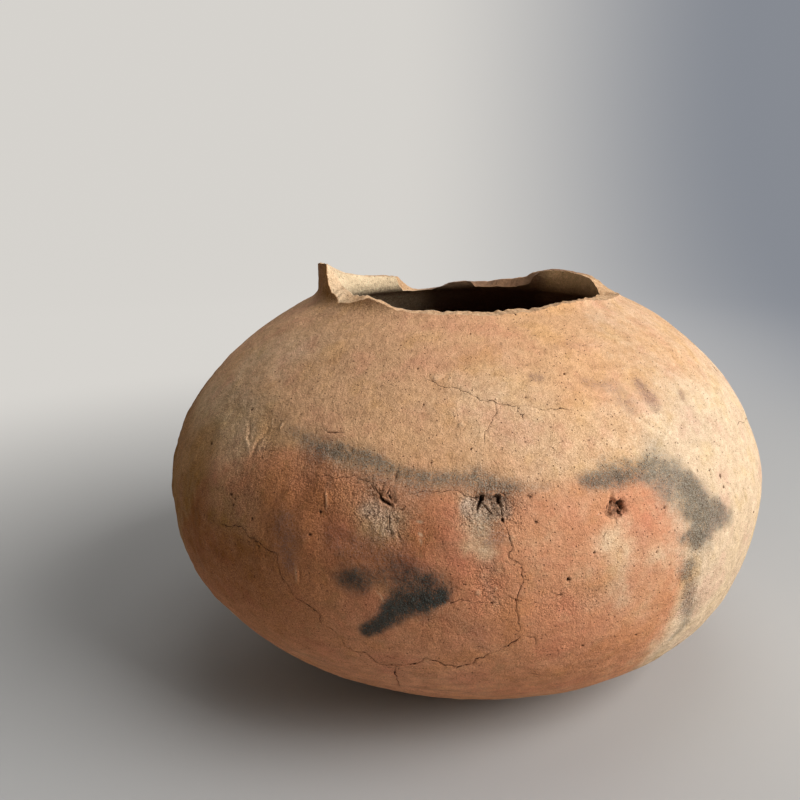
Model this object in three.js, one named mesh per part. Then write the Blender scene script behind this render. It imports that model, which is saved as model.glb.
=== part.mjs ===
/**
 * A hand-built pottery jar: a squat round body that rests on a small flat, with a wide mouth whose
 * neck has broken away, down to the shoulder nearly all the way round but for a stub at the left.
 *
 * It is built the way a potter builds such a jar: a pad of clay for the base, seven coils pressed
 * into flat bands, each luted to the one below with a bevelled lap, and a collar turned up into the
 * neck. Each band is a solid of its own, and a thin open joint parts it from the next.
 *
 * Units are millimetres. +Z is up. The origin is on the resting face, on the axis of the mouth.
 * -Y is the front. Angles round the jar run from +X, which is the right, towards +Y, the back.
 */
import * as THREE from 'three';
import { ParametricGeometry } from 'three/addons/geometries/ParametricGeometry.js';

const { lerp, radToDeg, smoothstep } = THREE.MathUtils;

// The body's outline, as two quarter superellipses that meet at the belly
const BELLY_RADIUS = 100;
const BELLY_HEIGHT = 65;
const LOWER_BODY = { rise: -67.5, heightPower: 2.42, radiusPower: 2.29 };
const UPPER_BODY = { rise: 68.1, heightPower: 1.79, radiusPower: 1.95 };
const OUTLINE_POINTS = 20;

// The neck, which stands straight up from the shoulder
const NECK_ROOT_HEIGHT = 122.5;
const NECK_FILLET = 3;
const NECK_FULL_RISE = 16;

// The wall's thickness, at the base and from the belly up, and how much more it is at the neck's root
const BASE_THICKNESS = 7;
const WALL_THICKNESS = 4.6;
const THIN_FROM_HEIGHT = 50;
const NECK_ROOT_EXTRA = 1.2;
const NECK_ROOT_REACH = 2.2;

// The joints between the clay bands: the height of each on the outside, and how far its line wanders
const JOINT_HEIGHTS = [2.3, 12, 25, 40, 60, 85.5, 105, 114.5];
const JOINT_WANDER = 1.2;
const JOINT_LAP = 4;
const JOINT_GAP = 0.4;

// The unevenness of a pot made by hand
const WOBBLE = [
  { waves: 2, reach: 0.5, turn: 0.9 },
  { waves: 3, reach: 0.4, turn: 2.0 },
  { waves: 5, reach: 0.2, turn: 0.4 },
];
const LOPSIDED_DROP = 0.047;
const LEAN = 0.8;
const LEAN_HEIGHT = 80;
const LEAN_REACH = 12;

// The broken edge on the outside: [angle round the jar in degrees, height above the neck's root]
const BROKEN_EDGE = [
  [0, -0.2], [8, -0.7], [13, -0.2], [16, 0.7], [19, 1.7], [24, 2.8], [30, 3.4], [37, 3.8],
  [45, 4.1], [50, 3.7], [56, 2.8], [60, 1.7], [62, 0.7], [70, -0.3], [76, -0.9], [81, -1.9],
  [93, -2.0], [97, -2.6], [100, -4.2], [103, -5.4], [110, -6.0], [113, -4.8], [117, -2.4],
  [121, -0.4], [123, 0.8], [126, 1.3], [132, 1.5], [140, 2.1], [150, 3.2], [155, 4.0],
  [160, 5.6], [170, 8.2], [180, 9.4], [190, 10.0], [200, 10.8], [208.5, 11.2], [210.5, 4.9],
  [213, 2.9], [217, 2.0], [220, 0.7], [225, 0.8], [229, 1.5], [234, 2.8], [237, 2.8],
  [242, 1.6], [247, 0.4], [258, -0.2], [265, -0.1], [275, -0.6], [280, -0.2], [288, 0.2],
  [290, -0.1], [296, 0.6], [300, 0.8], [304, 1.5], [316, 1.4], [329, 0.8], [338, 0.6],
  [349, 0.1], [360, -0.2],
];
// The same for the break's inner edge, which seldom stands as high as the outer one
const BROKEN_INNER_EDGE = [
  [0, 0.4], [6, 1.6], [14, 2.8], [21, 3.2], [34, 4.1], [40, 4.1], [46, 3.7], [51, 3.1],
  [55, 2.1], [57, 1.2], [60, 0.7], [69, 0.2], [86, -0.1], [88, 0.9], [94, 1.0], [99, 0.8],
  [102, 0.3], [108, -0.5], [116, -0.8], [122, -0.3], [125, 0.7], [128, 2.0], [137, 2.4],
  [147, 2.7], [158, 3.6], [165, 4.5], [174, 6.4], [190, 8.2], [203, 8.7], [208, 6.9],
  [212, 4.7], [217, 3.3], [221, 2.6], [229, 2.9], [235, 2.5], [242, 1.7], [250, 1.4],
  [264, 1.5], [277, 1.3], [288, 1.6], [293, 1.4], [301, 1.7], [307, 1.9], [310, 2.1],
  [321, 2.0], [338, 1.9], [346, 1.4], [353, 0.6], [360, 0.4],
];

// How finely the bands are cut into facets
const SIDES = 54;
const COLLAR_SIDES = 120;
const FACET_LENGTH = 8;
const COLLAR_FACET_LENGTH = 3.5;

// Fired clay, from the smoky base to the pale neck
const CLAY = {
  base: new THREE.MeshStandardMaterial({ color: 0x8f6443, roughness: 0.9, metalness: 0 }),
  belly: new THREE.MeshStandardMaterial({ color: 0xb0714b, roughness: 0.88, metalness: 0 }),
  shoulder: new THREE.MeshStandardMaterial({ color: 0xc39468, roughness: 0.9, metalness: 0 }),
  neck: new THREE.MeshStandardMaterial({ color: 0xcba276, roughness: 0.92, metalness: 0 }),
};

/** A point of the body's outline: angle 0 is the belly, and a quarter turn is the axis. */
function bodyPoint({ rise, heightPower, radiusPower }, angle) {
  const radius = BELLY_RADIUS * Math.cos(angle) ** (2 / radiusPower);
  const height = BELLY_HEIGHT + rise * Math.sin(angle) ** (2 / heightPower);
  return new THREE.Vector2(radius, height);
}

/** The angle at which bodyPoint reaches a height. */
function bodyAngle({ rise, heightPower }, height) {
  return Math.asin(((height - BELLY_HEIGHT) / rise) ** (heightPower / 2));
}

/** The outside of the jar, from the middle of the base to the top of the unbroken neck. */
function makeOutline() {
  const baseAngle = bodyAngle(LOWER_BODY, 0);
  const rootAngle = bodyAngle(UPPER_BODY, NECK_ROOT_HEIGHT - NECK_FILLET / 2);
  const body = [];
  for (let i = 1; i <= OUTLINE_POINTS; i += 1) {
    body.push(bodyPoint(LOWER_BODY, baseAngle * (1 - i / OUTLINE_POINTS)));
  }
  for (let i = 1; i <= OUTLINE_POINTS; i += 1) {
    body.push(bodyPoint(UPPER_BODY, rootAngle * (i / OUTLINE_POINTS)));
  }
  const root = bodyPoint(UPPER_BODY, bodyAngle(UPPER_BODY, NECK_ROOT_HEIGHT));
  const outline = new THREE.Path();
  outline.moveTo(0, 0);
  outline.lineTo(bodyPoint(LOWER_BODY, baseAngle).x, 0);
  outline.splineThru(body);
  outline.quadraticCurveTo(root.x, root.y, root.x, root.y + NECK_FILLET);
  outline.lineTo(root.x, root.y + NECK_FULL_RISE);
  return outline;
}

const outline = makeOutline();
const outlineLength = outline.getLength();

/** How far along the outline it reaches a height, by halving. */
function arcAtHeight(height) {
  let low = 0;
  let high = outlineLength;
  while (high - low > 0.001) {
    const middle = (low + high) / 2;
    if (outline.getPoint(middle / outlineLength).y < height) low = middle;
    else high = middle;
  }
  return low;
}

const neckRootArc = arcAtHeight(NECK_ROOT_HEIGHT + NECK_FILLET / 5);

/** The value of a table of [angle in degrees, value] pairs at an angle in radians. */
function roundTheJar(table, angle) {
  const degrees = (radToDeg(angle) + 360) % 360;
  const next = Math.max(1, table.findIndex(([a]) => a >= degrees));
  const [angleA, valueA] = table[next - 1];
  const [angleB, valueB] = table[next];
  return lerp(valueA, valueB, (degrees - angleA) / (angleB - angleA));
}

/** Moves a point of the even jar to where it is on the uneven one. */
function uneven(radius, height, angle) {
  const off = smoothstep(height, 0, 25);
  const wobble = WOBBLE.reduce((sum, w) => sum + w.reach * Math.sin(w.waves * angle + w.turn), 0);
  const r = radius + off * wobble * (radius / BELLY_RADIUS);
  const lean = LEAN * Math.exp(-(((height - LEAN_HEIGHT) / LEAN_REACH) ** 2));
  const x = r * Math.cos(angle) - lean;
  const low = smoothstep(height, 0, 18) * (1 - smoothstep(height, 25, 52));
  return new THREE.Vector3(x, r * Math.sin(angle), height - LOPSIDED_DROP * x * low);
}

function wallThickness(arc, height) {
  const thin = smoothstep(height, 0, THIN_FROM_HEIGHT);
  const extra = NECK_ROOT_EXTRA * Math.exp(-(((arc - neckRootArc) / NECK_ROOT_REACH) ** 2));
  return lerp(BASE_THICKNESS, WALL_THICKNESS, thin) + extra;
}

/** A point of the wall: arc along the outline, angle round the jar, and 0 outside or 1 inside. */
function wallPoint(arc, angle, inside) {
  const share = Math.min(arc / outlineLength, 1);
  const outer = outline.getPoint(share);
  const along = outline.getTangent(share);
  const depth = inside * wallThickness(arc, outer.y);
  const radius = Math.max(outer.x - along.y * depth, 0);
  return uneven(radius, outer.y + along.x * depth, angle);
}

/** Where joint i crosses the outside at an angle, as an arc along the outline. */
function jointArc(i, angle) {
  const wander = Math.sin(2 * angle + 1.7 * i) + 0.6 * Math.sin(3 * angle - 2.3 * i);
  return arcs[i] + (JOINT_WANDER / 1.6) * wander;
}

const arcs = JOINT_HEIGHTS.map(arcAtHeight);

/** Where one of the break's edges is at an angle. */
function breakArc(edge, angle) {
  return arcAtHeight(NECK_ROOT_HEIGHT + roundTheJar(edge, angle));
}

/**
 * A closed band of wall. section(angle) gives the [arc, inside] pairs of its cross-section, in the
 * order that goes up the outside, over the top and down the inside.
 */
function bandGeometry(section, sides) {
  const count = section(0).length;
  const place = (u, v, target) => {
    const angle = (u % 1) * 2 * Math.PI;
    const [arc, inside] = section(angle)[Math.round(v * count) % count];
    target.copy(wallPoint(arc, angle, inside));
  };
  return new ParametricGeometry(place, sides, count);
}

/** The cross-section of a band whose outside and inside each run from a low to a high arc. */
function bandSection([outerLow, outerHigh], [innerLow, innerHigh], steps) {
  const points = [];
  for (let i = 0; i <= steps; i += 1) points.push([lerp(outerLow, outerHigh, i / steps), 0]);
  for (let i = steps; i >= 0; i -= 1) points.push([lerp(innerLow, innerHigh, i / steps), 1]);
  return points;
}

/** The clay pad that the jar stands on, with its rim bevelled for the first coil. */
function basePad() {
  const steps = Math.ceil(arcs[0] / FACET_LENGTH);
  const section = (angle) => {
    const edge = jointArc(0, angle) - JOINT_GAP / 2;
    return bandSection([0, edge], [0, edge + JOINT_LAP], steps);
  };
  return bandGeometry(section, SIDES);
}

/** Coil i, from joint i to joint i + 1, with a bevelled lap on both edges. */
function coil(i) {
  const steps = Math.ceil((arcs[i + 1] - arcs[i]) / FACET_LENGTH);
  const section = (angle) => {
    const low = jointArc(i, angle) + JOINT_GAP / 2;
    const high = jointArc(i + 1, angle) - JOINT_GAP / 2;
    return bandSection([low, high], [low + JOINT_LAP, high + JOINT_LAP], steps);
  };
  return bandGeometry(section, SIDES);
}

/** The last band, turned up into the neck and broken off at the edge. */
function neckCollar() {
  const last = JOINT_HEIGHTS.length - 1;
  const steps = Math.ceil((arcAtHeight(NECK_ROOT_HEIGHT) - arcs[last]) / COLLAR_FACET_LENGTH) + 2;
  const section = (angle) => {
    const low = jointArc(last, angle) + JOINT_GAP / 2;
    const outer = [low, breakArc(BROKEN_EDGE, angle)];
    const inner = [low + JOINT_LAP, breakArc(BROKEN_INNER_EDGE, angle)];
    return bandSection(outer, inner, steps);
  };
  return bandGeometry(section, COLLAR_SIDES);
}

function addPiece(jar, name, geometry, material) {
  const piece = new THREE.Mesh(geometry, material);
  piece.name = name;
  jar.add(piece);
}

const COILS = [
  ['base_coil', CLAY.base],
  ['foot_coil', CLAY.base],
  ['lower_wall_coil', CLAY.belly],
  ['lower_belly_coil', CLAY.belly],
  ['upper_belly_coil', CLAY.belly],
  ['lower_shoulder_coil', CLAY.shoulder],
  ['upper_shoulder_coil', CLAY.shoulder],
];

const jar = new THREE.Group();
jar.name = 'pottery_jar';
addPiece(jar, 'base_pad', basePad(), CLAY.base);
COILS.forEach(([name, material], i) => addPiece(jar, name, coil(i), material));
addPiece(jar, 'neck_collar', neckCollar(), CLAY.neck);

export default jar;
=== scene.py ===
"""The looks of a hand-built pottery jar: nine fired clay bands, a plain sweep, soft light, a camera.

The bands are cut from one uneven wall. A point of the wall is given by its arc, which runs along
the jar's outline from the middle of the base, its angle round the jar from +X, and its depth,
0 outside and 1 inside. Lengths are in millimetres until a mesh is made. Marks that were read off
the photograph are given by their pixels, and a ray through each pixel finds its place on the wall.
"""

import itertools
import math

import bpy
import numpy as np
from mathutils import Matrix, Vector


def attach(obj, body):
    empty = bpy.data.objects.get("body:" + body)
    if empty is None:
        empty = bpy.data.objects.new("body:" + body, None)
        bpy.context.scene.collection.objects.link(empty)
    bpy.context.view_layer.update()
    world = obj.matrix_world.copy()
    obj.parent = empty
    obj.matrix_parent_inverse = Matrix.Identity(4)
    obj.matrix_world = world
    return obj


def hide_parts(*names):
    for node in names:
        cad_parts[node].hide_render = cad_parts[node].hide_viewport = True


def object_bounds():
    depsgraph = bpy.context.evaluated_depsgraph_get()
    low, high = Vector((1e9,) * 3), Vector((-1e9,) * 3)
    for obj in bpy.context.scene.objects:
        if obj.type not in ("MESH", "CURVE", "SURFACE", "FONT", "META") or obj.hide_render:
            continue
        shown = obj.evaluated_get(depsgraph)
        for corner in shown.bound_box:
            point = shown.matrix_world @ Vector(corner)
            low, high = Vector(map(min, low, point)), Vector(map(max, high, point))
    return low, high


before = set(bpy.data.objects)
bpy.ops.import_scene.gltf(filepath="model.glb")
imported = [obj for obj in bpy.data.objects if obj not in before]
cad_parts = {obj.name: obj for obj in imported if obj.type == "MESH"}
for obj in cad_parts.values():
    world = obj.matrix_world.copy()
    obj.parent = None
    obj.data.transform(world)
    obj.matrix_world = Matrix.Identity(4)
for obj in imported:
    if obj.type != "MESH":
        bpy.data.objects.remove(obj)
cad_box = [list(corner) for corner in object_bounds()]

# The body's outline, as in the CAD source
BELLY_RADIUS = 100.0
BELLY_HEIGHT = 65.0
LOWER_BODY = {"rise": -67.5, "height_power": 2.42, "radius_power": 2.29}
UPPER_BODY = {"rise": 68.1, "height_power": 1.79, "radius_power": 1.95}
NECK_ROOT_HEIGHT = 122.5
NECK_FILLET = 3.0
NECK_FULL_RISE = 16.0
BASE_THICKNESS = 7.0
WALL_THICKNESS = 4.6
THIN_FROM_HEIGHT = 50.0
NECK_ROOT_EXTRA = 1.2
NECK_ROOT_REACH = 2.2

# The joints between the clay bands, as in the CAD source
JOINT_HEIGHTS = [2.3, 12, 25, 40, 60, 85.5, 105, 114.5]
JOINT_WANDER = 1.2
JOINT_LAP = 4.0

# The unevenness of a pot made by hand, as in the CAD source: waves round the jar, reach, turn
WOBBLE = [(2, 0.5, 0.9), (3, 0.4, 2.0), (5, 0.2, 0.4)]
LOPSIDED_DROP = 0.047
LEAN = 0.8
LEAN_HEIGHT = 80.0
LEAN_REACH = 12.0

# The broken edge on the outside: angle round the jar in degrees, height above the neck's root
BROKEN_EDGE = [
    (0, -0.2), (8, -0.7), (13, -0.2), (16, 0.7), (19, 1.7), (24, 2.8), (30, 3.4), (37, 3.8),
    (45, 4.1), (50, 3.7), (56, 2.8), (60, 1.7), (62, 0.7), (70, -0.3), (76, -0.9), (81, -1.9),
    (93, -2.0), (97, -2.6), (100, -4.2), (103, -5.4), (110, -6.0), (113, -4.8), (117, -2.4),
    (121, -0.4), (123, 0.8), (126, 1.3), (132, 1.5), (140, 2.1), (150, 3.2), (155, 4.0),
    (160, 5.6), (170, 8.2), (180, 9.4), (190, 10.0), (200, 10.8), (208.5, 11.2), (210.5, 4.9),
    (213, 2.9), (217, 2.0), (220, 0.7), (225, 0.8), (229, 1.5), (234, 2.8), (237, 2.8),
    (242, 1.6), (247, 0.4), (258, -0.2), (265, -0.1), (275, -0.6), (280, -0.2), (288, 0.2),
    (290, -0.1), (296, 0.6), (300, 0.8), (304, 1.5), (316, 1.4), (329, 0.8), (338, 0.6),
    (349, 0.1), (360, -0.2),
]
# The same for the break's inner edge
BROKEN_INNER_EDGE = [
    (0, 0.4), (6, 1.6), (14, 2.8), (21, 3.2), (34, 4.1), (40, 4.1), (46, 3.7), (51, 3.1),
    (55, 2.1), (57, 1.2), (60, 0.7), (69, 0.2), (86, -0.1), (88, 0.9), (94, 1.0), (99, 0.8),
    (102, 0.3), (108, -0.5), (116, -0.8), (122, -0.3), (125, 0.7), (128, 2.0), (137, 2.4),
    (147, 2.7), (158, 3.6), (165, 4.5), (174, 6.4), (190, 8.2), (203, 8.7), (208, 6.9),
    (212, 4.7), (217, 3.3), (221, 2.6), (229, 2.9), (235, 2.5), (242, 1.7), (250, 1.4),
    (264, 1.5), (277, 1.3), (288, 1.6), (293, 1.4), (301, 1.7), (307, 1.9), (310, 2.1),
    (321, 2.0), (338, 1.9), (346, 1.4), (353, 0.6), (360, 0.4),
]

PIECES = {
    "base_clay": ["base_pad", "base_coil", "foot_coil"],
    "belly_clay": ["lower_wall_coil", "lower_belly_coil", "upper_belly_coil"],
    "shoulder_clay": ["lower_shoulder_coil", "upper_shoulder_coil"],
    "neck_clay": ["neck_collar"],
}

# The photograph's camera
CAMERA_DISTANCE = 272.8
CAMERA_HEIGHT = 155.6
CAMERA_PITCH = math.radians(14.69)
FRAME_PIXELS = 800
FOCAL_PIXELS = 800
AXIS_PIXEL = 467

# Cracks: width in millimetres and the pixels that each runs through. Neighbours in this list may meet.
CRACKS = [
    (0.13, [(425, 376), (445, 386), (455, 386), (484, 399), (493, 399), (502, 403), (521, 405)]),
    (0.11, [(521, 405), (527, 404), (548, 409), (560, 406), (576, 411)]),
    (0.08, [(495, 400), (497, 411), (485, 431), (485, 446)]),
    (0.09, [(517, 404), (519, 411), (527, 424)]),
    (0.09, [(491, 454), (498, 467), (499, 473)]),
    (0.21, [(322, 426), (327, 431), (345, 432)]),
    (0.09, [(309, 474), (339, 477), (353, 476), (370, 481), (380, 495)]),
    (0.1, [(404, 496), (424, 491), (445, 492), (452, 490), (459, 491), (464, 495), (471, 497), (482, 497)]),
    (0.13, [(216, 523), (222, 526), (238, 527), (248, 538), (264, 550), (274, 554), (279, 576),
        (294, 600), (315, 612), (318, 615), (320, 624), (333, 633), (338, 639)]),
    (0.24, [(338, 639), (342, 642), (345, 648), (352, 652), (367, 656), (375, 665), (382, 667),
        (404, 668), (419, 665), (426, 661), (456, 670), (471, 667), (477, 662), (496, 655), (514, 645),
        (523, 637)]),
    (0.08, [(506, 523), (513, 550), (510, 554), (510, 558), (518, 562), (522, 570), (523, 584),
        (517, 601), (516, 613), (520, 621), (518, 626), (521, 630), (519, 634), (523, 637)]),
    (0.14, [(523, 637), (535, 640), (537, 647)]),
    (0.22, [(394, 668), (396, 681), (400, 689)]),
    (0.1, [(440, 603), (454, 604), (460, 602), (486, 604), (491, 606)]),
    (0.15, [(505, 596), (517, 601)]),
    (0.16, [(562, 665), (569, 656)]),
    (0.16, [(527, 675), (544, 676)]),
    (0.12, [(507, 487), (504, 493), (507, 512), (506, 523)]),
]

# Slots, scratches and ridges: width in millimetres, depth, darkness, pixels. Darkness is painted shade
# inside a slot, or a scraped pale where it is negative. A ridge's depth is negative.
GOUGES = [
    (0.75, 1, 1, [(380, 493), (379, 497), (382, 500), (387, 503), (391, 506)]),
    (0.45, 0.7, 0.9, [(384, 491), (388, 495), (390, 500)]),
    (0.25, 0.4, 0.7, [(370, 483), (374, 490), (377, 493)]),
    (0.25, 0.4, 0.7, [(388, 514), (388, 523), (389, 531)]),
    (0.3, 0.5, 0.8, [(396, 494), (399, 498)]),
    (0.22, 0.3, 0.6, [(401, 505), (402, 512), (400, 519)]),
    (0.55, 0.4, 0.75, [(387, 534), (393, 535), (397, 537), (401, 537)]),
    (0.8, 1, 1, [(482, 494), (481, 499), (479, 504), (477, 509)]),
    (0.28, 0.6, 0.8, [(482, 502), (487, 508), (494, 516)]),
    (0.9, 1, 1, [(495, 496), (498, 499), (501, 505)]),
    (0.28, 0.6, 0.8, [(501, 504), (502, 511), (503, 519)]),
    (0.25, 0.4, 0.7, [(468, 495), (473, 498), (480, 496)]),
    (0.6, 0.3, 0.35, [(321, 494), (322, 500), (323, 508)]),
    (0.6, -0.22, -0.3, [(324, 490), (325, 500), (324, 511)]),
    (0.4, 0.2, -0.8, [(419, 512), (419, 527), (421, 544)]),
    (1, -0.4, -0.5, [(243, 438), (246, 445), (246, 453)]),
    (1.1, 0.5, 0.3, [(255, 438), (252, 447), (249, 454)]),
    (1.5, 0.35, 0.1, [(270, 421), (262, 432), (253, 442)]),
    (0.8, 0.35, 0.3, [(247, 419), (247, 430), (245, 438)]),
    (0.6, -0.3, -0.5, [(270, 417), (269, 426)]),
    (0.8, 0.25, 0.4, [(210, 417), (214, 411)]),
    (0.4, 0.25, 0.5, [(313, 425), (315, 433)]),
    (0.5, 0.25, 0.4, [(345, 444), (349, 448), (352, 452)]),
    (0.6, -0.2, -0.3, [(294, 567), (295, 583)]),
    (0.5, 0.22, 0.3, [(297, 568), (298, 583)]),
    (0.4, 0.12, -0.5, [(375, 592), (380, 597), (383, 604)]),
    (0.5, 0.2, 0.3, [(635, 377), (641, 382), (647, 390)]),
    (0.5, 0.2, 0.3, [(641, 406), (642, 415)]),
    (0.5, -0.15, -0.6, [(703, 590), (698, 595), (694, 600)]),
]

# Pits: pixel, width and height in millimetres, depth. A nodule's depth is negative.
PITS = [
    (616, 509, 5, 5.2, 1.3), (621, 502, 1.6, 1.5, 1), (623, 506, 1, 2, 1),
    (622, 512, 0.8, 1.5, 0.8), (613, 502, 1, 0.9, 0.8), (609, 507, 0.6, 0.9, 0.6),
    (487, 506, 9, 6.4, 0.6), (497, 497, 1.9, 1.4, 1), (482, 497, 1.1, 1.4, 0.9),
    (503, 520, 0.8, 0.8, 0.8), (386, 500, 5, 3, 0.4), (455, 507, 0.6, 0.9, 0.7),
    (530, 496, 0.6, 1.1, 0.7), (537, 522, 0.7, 0.7, 0.6), (318, 512, 0.8, 0.8, 0.6),
    (207, 442, 1.2, 0.9, 0.8), (250, 408, 1, 0.7, 0.4), (471, 448, 0.4, 0.5, 0.5),
    (526, 396, 0.9, 0.6, 0.3), (431, 462, 0.5, 0.4, 0.5), (423, 403, 0.5, 0.6, 0.4),
    (604, 537, 0.6, 0.6, 0.5), (666, 508, 0.6, 0.5, 0.4), (658, 553, 0.6, 0.5, 0.6),
    (595, 553, 0.7, 0.5, 0.6), (569, 581, 0.9, 0.9, 0.7), (637, 636, 0.7, 0.5, 0.6),
    (583, 647, 0.9, 0.6, 0.6), (560, 597, 1.6, 0.5, 0.4), (492, 605, 0.5, 0.5, 0.3),
    (516, 602, 0.4, 0.7, 0.4), (722, 476, 0.9, 0.9, 0.8), (725, 487, 0.8, 0.7, 0.5),
    (711, 470, 0.5, 0.4, 0.4), (755, 513, 1.3, 0.7, 0.5), (677, 442, 0.5, 0.5, 0.4),
    (615, 429, 0.6, 0.4, 0.3), (565, 372, 0.5, 0.5, 0.4), (228, 494, 0.9, 0.7, 0.6),
    (232, 499, 0.8, 0.6, 0.5), (230, 505, 0.7, 0.6, 0.4), (249, 519, 0.6, 0.9, 0.5),
    (256, 547, 0.7, 0.6, 0.4), (263, 557, 0.6, 0.6, 0.4), (252, 578, 0.6, 0.6, 0.4),
    (308, 535, 0.7, 0.5, 0.6), (209, 574, 0.6, 0.5, 0.4), (395, 475, 1, 1.4, 0.3),
    (417, 367, 0.5, 0.5, 0.4), (470, 332, 0.5, 0.4, 0.4), (516, 313, 0.7, 0.5, 0.4),
    (490, 549, 0.5, 0.5, 0.5), (671, 566, 0.7, 0.6, 0.3), (437, 376, 3.2, 2.6, -0.35),
    (450, 377, 1, 1.6, -0.2), (461, 424, 1.6, 1.6, -0.25), (279, 425, 1, 1.7, -0.35),
    (478, 594, 1.4, 1.8, -0.25), (496, 590, 1.2, 1.4, -0.25),
]

# Crumbled places, where the mesh is drawn in once for all marks: pixel, reach in millimetres
CRUMBLED = [((617, 509), 9.0), ((490, 506), 13.0), ((385, 510), 12.0)]

# Colour strokes of each kind: strength, [(pixel x, pixel y, half width in millimetres)]
SMOKE = [
    (0.34, [(292, 430, 2.2), (310, 440, 3.4), (325, 446, 4), (342, 452, 4), (358, 458, 3.6),
        (375, 463, 3.4), (392, 470, 3.2), (408, 475, 3.4), (430, 480, 3.8), (450, 481, 4),
        (470, 482, 4.2), (490, 484, 4.2), (510, 486, 3.4), (530, 488, 2.2), (548, 487, 1.2)]),
    (0.38, [(318, 446, 1.6), (342, 450, 1.8), (375, 459, 1.6), (408, 473, 1.8), (450, 478, 2.2),
        (490, 481, 2.4), (515, 486, 1.6)]),
    (0.24, [(300, 452, 3.4), (345, 465, 4), (385, 484, 5), (410, 490, 4)]),
    (0.22, [(262, 412, 3.4), (282, 424, 4), (300, 436, 3.4)]),
    (0.6, [(584, 480, 2.2), (596, 480, 2.8), (612, 477, 2.8), (630, 474, 2.4)]),
    (0.42, [(618, 476, 2.8), (640, 472, 3.4), (658, 470, 4), (674, 472, 3.4)]),
    (0.18, [(636, 466, 3.4), (655, 462, 4.4), (672, 461, 4.4), (682, 462, 3)]),
    (0.52, [(652, 472, 4), (668, 482, 6), (682, 492, 6.6), (690, 504, 5.4)]),
    (0.76, [(690, 484, 4), (700, 496, 5), (708, 506, 5), (716, 514, 4.8)]),
    (0.5, [(718, 504, 3), (728, 516, 2.8)]),
    (0.82, [(704, 514, 4.4), (706, 526, 4.4), (700, 536, 3.4)]),
    (0.18, [(703, 546, 4.6), (698, 555, 4.2), (690, 563, 3.6)]),
    (0.55, [(692, 567, 2.4), (688, 575, 2.4)]),
    (0.46, [(692, 591, 2.6), (690, 604, 3.2), (689, 618, 3.2), (682, 630, 2.6), (674, 638, 2)]),
    (0.26, [(648, 438, 2.6), (656, 446, 4.2)]),
    (0.22, [(366, 506, 3.4), (384, 511, 4.4), (398, 520, 3.4)]),
    (0.5, [(484, 502, 4.2), (494, 506, 4.4), (502, 502, 3.4)]),
    (0.22, [(468, 515, 2.4), (480, 522, 3.6), (492, 526, 3.4), (497, 532, 2.4)]),
    (0.22, [(486, 541, 2.8), (500, 539, 2.6)]),
    (0.22, [(430, 610, 3), (455, 618, 3.4), (475, 632, 3.4), (482, 645, 2.4)]),
    (0.16, [(590, 320, 9), (630, 345, 10), (675, 385, 10), (700, 430, 8)]),
]
BRUISES = [
    (0.45, [(533, 375, 1.4), (539, 376, 1.6)]),
    (0.3, [(588, 381, 2.2), (600, 384, 2.4), (612, 384, 2.8), (622, 396, 2.8), (634, 410, 2.2)]),
    (0.55, [(640, 382, 1.6), (648, 392, 2.4), (656, 403, 2.4)]),
    (0.5, [(683, 391, 1.3), (684, 398, 1.4)]),
    (0.42, [(284, 520, 3.4), (283, 533, 4.6), (284, 548, 4.2), (288, 566, 2.6)]),
    (0.3, [(335, 540, 5), (365, 552, 6), (400, 560, 5)]),
    (0.3, [(488, 541, 2.4), (497, 540, 2.6)]),
]
SOOT = [
    (0.74, [(438, 601, 2), (426, 602, 3.3), (412, 606, 3.9), (400, 611, 3.8), (388, 618, 3.3),
        (377, 626, 2.8), (366, 633, 1.9)]),
    (0.38, [(440, 592, 2.8), (424, 588, 4), (408, 594, 4), (392, 606, 3.4)]),
    (0.35, [(440, 579, 3.2), (420, 575, 4.2), (396, 578, 4.2), (372, 577, 4), (350, 578, 3.4)]),
    (0.3, [(340, 580, 2.8), (350, 584, 4), (362, 589, 3)]),
    (0.22, [(590, 481, 1.4), (606, 480, 1.6), (622, 477, 1.4)]),
]
# Brown stains, partly painted shade on the left edge and low on the front
BROWN_STAINS_AND_SHADE = [
    (0.4, [(290, 500, 8), (335, 528, 9), (385, 558, 7), (420, 540, 6)]),
    (0.6, [(205, 432, 7), (190, 480, 8), (186, 520, 8)]),
    (0.16, [(440, 640, 9), (500, 660, 9), (560, 672, 9), (620, 655, 7)]),
]
FLUSHES = [
    (0.75, [(448, 520, 4), (454, 538, 6), (452, 556, 5)]),
    (0.5, [(335, 530, 5), (370, 555, 6), (410, 560, 6)]),
    (0.34, [(636, 510, 5), (662, 524, 6), (672, 545, 4)]),
    (0.26, [(430, 322, 3.4), (455, 320, 4.2), (478, 323, 3.4)]),
    (0.25, [(550, 620, 9), (600, 636, 9), (640, 620, 7)]),
    (0.35, [(535, 505, 6), (560, 510, 6), (585, 515, 5)]),
    (0.3, [(505, 330, 5), (495, 350, 5), (440, 360, 6)]),
    (0.3, [(310, 480, 5), (290, 500, 6)]),
]
GRITTY_PLACES = [
    (0.45, [(549, 604, 3.4), (566, 602, 4.2), (586, 598, 3.8)]),
    (0.7, [(484, 580, 3.6), (490, 592, 3.6), (496, 604, 3.4)]),
    (0.75, [(368, 512, 4.4), (384, 516, 5.4), (388, 528, 4.4)]),
    (1, [(470, 505, 4.4), (488, 507, 5.4), (500, 507, 4.8)]),
    (0.6, [(424, 588, 5), (410, 600, 4.6)]),
    (0.6, [(698, 550, 4.4), (690, 575, 4), (688, 612, 4.2)]),
    (0.5, [(270, 425, 4), (262, 440, 4)]),
    (0.5, [(300, 470, 6), (330, 485, 7), (355, 500, 6)]),
    (0.12, [(520, 440, 12), (570, 455, 12), (620, 440, 10)]),
    (0.55, [(225, 400, 9), (235, 440, 9), (240, 480, 9)]),
]
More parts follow.
